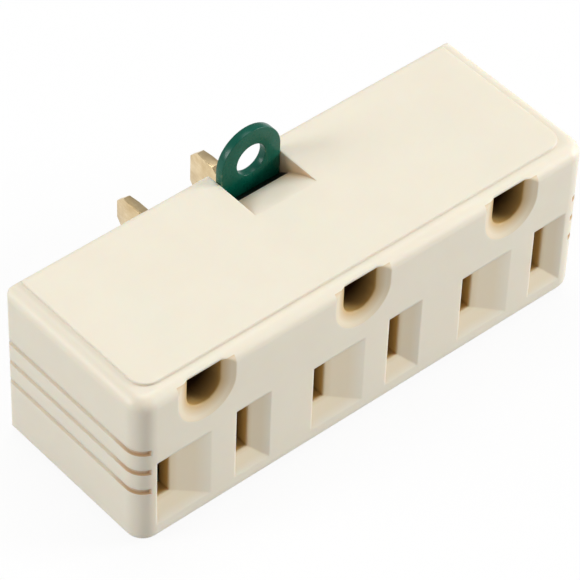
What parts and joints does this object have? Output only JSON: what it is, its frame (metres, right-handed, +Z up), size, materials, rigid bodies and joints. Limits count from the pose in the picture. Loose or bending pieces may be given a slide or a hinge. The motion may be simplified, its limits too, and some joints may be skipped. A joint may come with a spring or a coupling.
{
  "type": "plug-in outlet adapter",
  "caption": "Ivory block adapter with a row of grounded outlets on its face, and two flat blades and a green ground tab behind.",
  "frame": {"origin": "on the flat rear face, midway between the two blades and on their centre line", "axes": "+X along the body, +Y out of the rear face along the blades towards the wall, +Z up; the outlets face -Y"},
  "size_m": [0.075, 0.043, 0.0325],
  "materials": {
    "housing": "ivory moulding, satin gloss",
    "cover": "ivory moulding, satin gloss",
    "blade": "pale stamped brass",
    "tab": "dark green enamel",
    "strap": "rolled brass strip",
    "contact": "spring bronze strip",
    "rivet": "headed brass wire",
    "card": "pressed fibre card",
    "screw": "zinc-plated steel"
  },
  "bodies": {
    "root": {"front_housing": "housing", "rear_cover": "cover", "hot_blade": "blade", "neutral_blade": "blade", "ground_tab": "tab", "hot_strap": "strap", "neutral_strap": "strap", "ground_strap": "strap", "hot_contact_1": "contact", "hot_contact_2": "contact", "hot_contact_3": "contact", "neutral_contact_1": "contact", "neutral_contact_2": "contact", "neutral_contact_3": "contact", "ground_contact_1": "contact", "ground_contact_2": "contact", "ground_contact_3": "contact", "insulating_card": "card", "cover_screws": "screw", "hot_contact_rivets": "rivet", "neutral_contact_rivets": "rivet", "ground_contact_rivets": "rivet", "hot_blade_rivets": "rivet", "neutral_blade_rivets": "rivet", "ground_tab_rivet": "rivet"}
  },
  "joints": []
}
